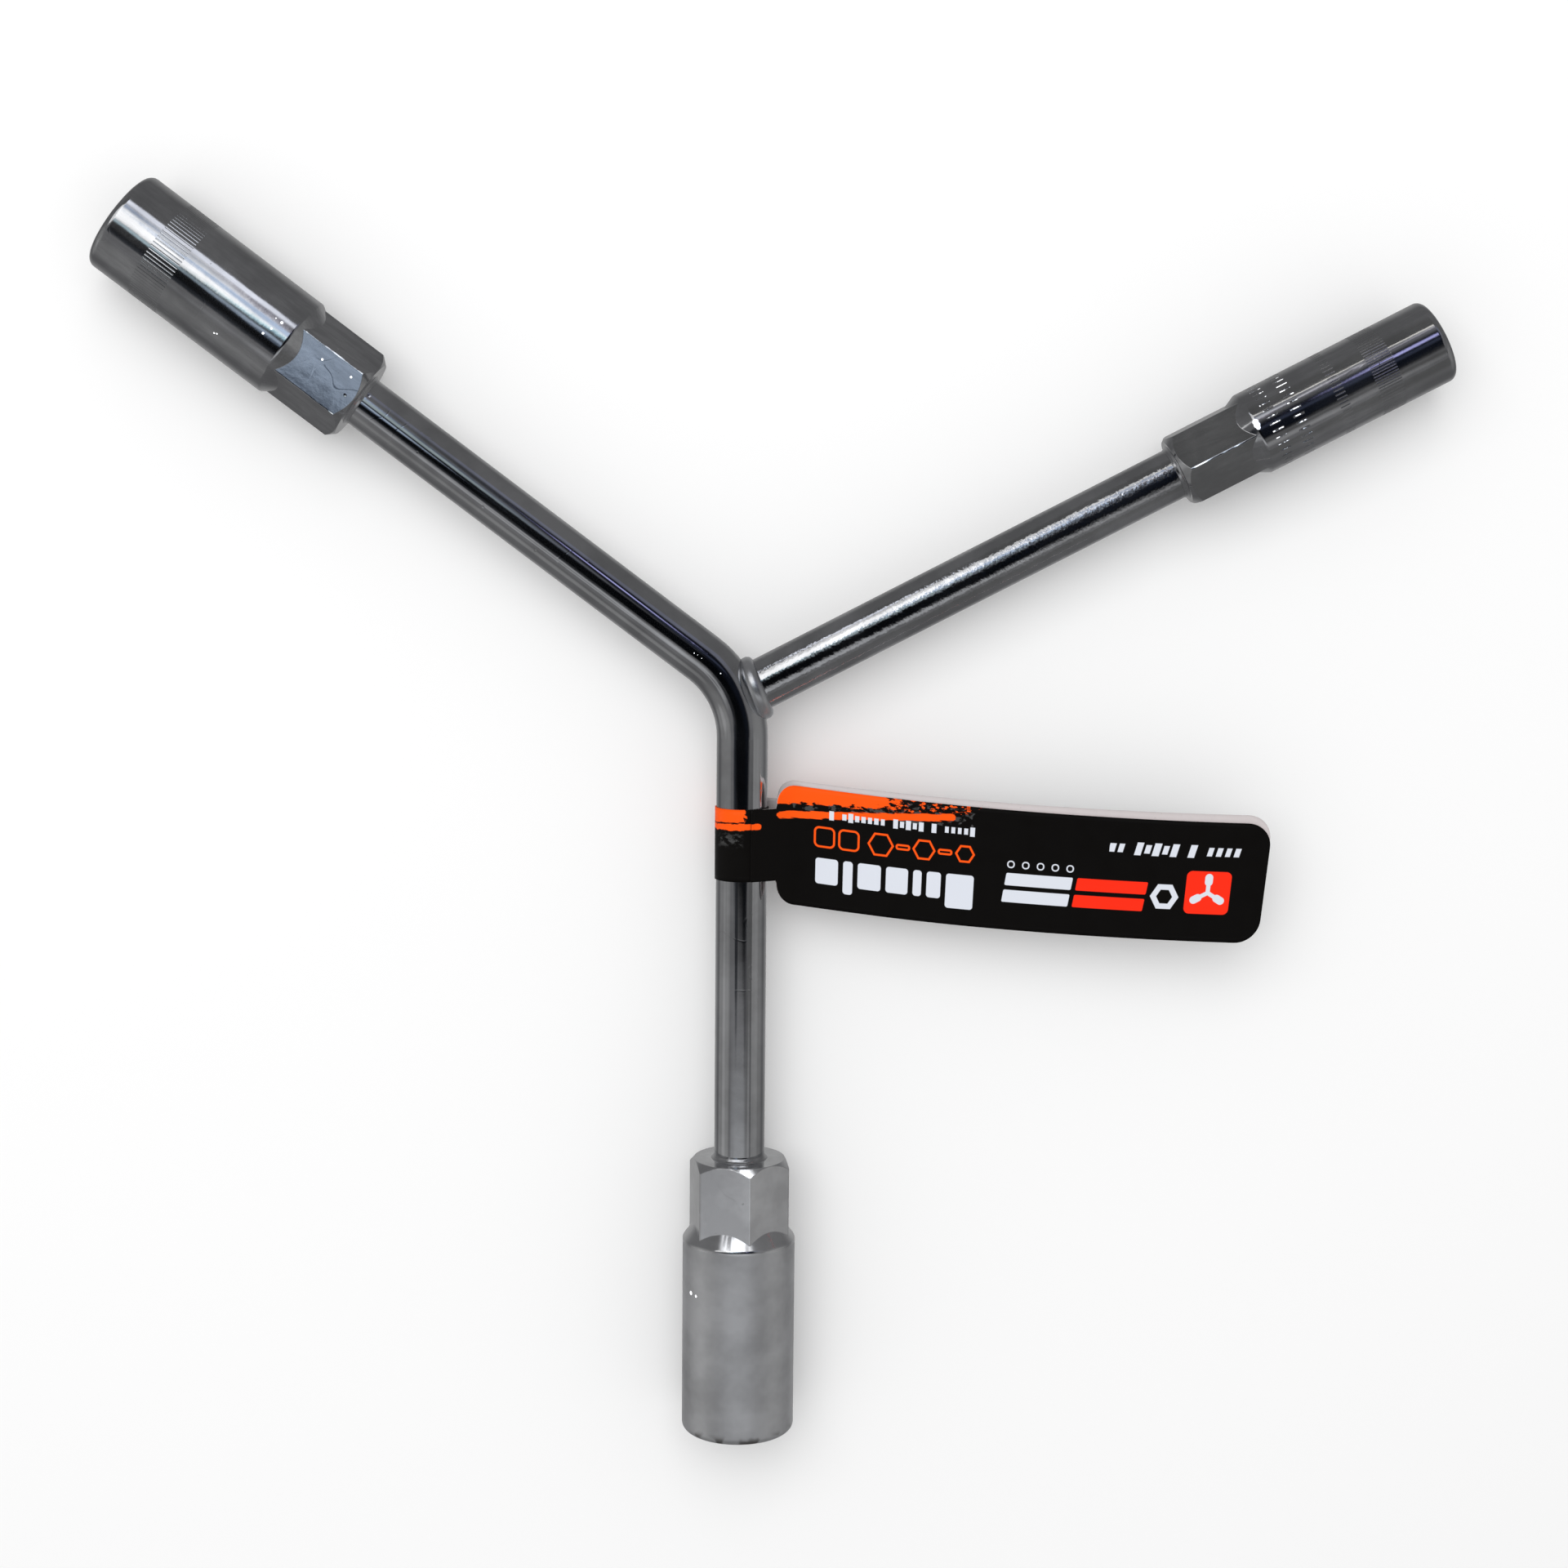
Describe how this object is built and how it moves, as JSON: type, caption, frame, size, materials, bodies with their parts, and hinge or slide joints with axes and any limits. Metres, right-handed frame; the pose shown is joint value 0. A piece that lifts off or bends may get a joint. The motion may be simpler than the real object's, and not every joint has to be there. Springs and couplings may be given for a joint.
{
  "type": "three-arm socket wrench",
  "caption": "Y-shaped deep socket wrench: three chromed rods meet at a welded hub, each ending in a hexagonal socket, with a folded card tag that turns and slides on one rod.",
  "frame": {"origin": "the hub: the point where the axes of the three arms meet", "axes": "+Z square to the plane of the three arms; the 14 mm arm points along -Y; the 12 mm arm is at 143.3 degrees and the 10 mm arm at 27.5 degrees from +X"},
  "size_m": [0.2346, 0.2213, 0.0202],
  "materials": {
    "rod_chrome": "bright chrome plate, lightly pitted",
    "socket_chrome": "bright chrome plate over turned and milled steel",
    "weld_chrome": "plated weld metal, slightly rough",
    "tag_card": "glossy printed black and orange face, white inside",
    "tag_glue": "dried glue film"
  },
  "bodies": {
    "wrench": {"bent_rod": "rod_chrome", "side_rod": "rod_chrome", "weld_collar": "weld_chrome", "socket_14": "socket_chrome", "socket_12": "socket_chrome", "socket_10": "socket_chrome", "weld_bead_14": "weld_chrome", "weld_bead_12": "weld_chrome", "weld_bead_10": "weld_chrome"},
    "tag_slider": {"tag_sleeve": "tag_card"},
    "tag_flap": {"tag_front_leaf": "tag_card", "tag_back_leaf": "tag_card", "tag_adhesive": "tag_glue"}
  },
  "joints": [
    {"name": "tag_slide", "type": "slide", "parent": "wrench", "child": "tag_slider", "axis": [0, 1, 0], "range_m": [-0.042, 0.009]},
    {"name": "tag_turn", "type": "hinge", "parent": "tag_slider", "child": "tag_flap", "pos_m": [0, -0.02765, 0], "axis": [0, 1, 0], "continuous": true}
  ]
}
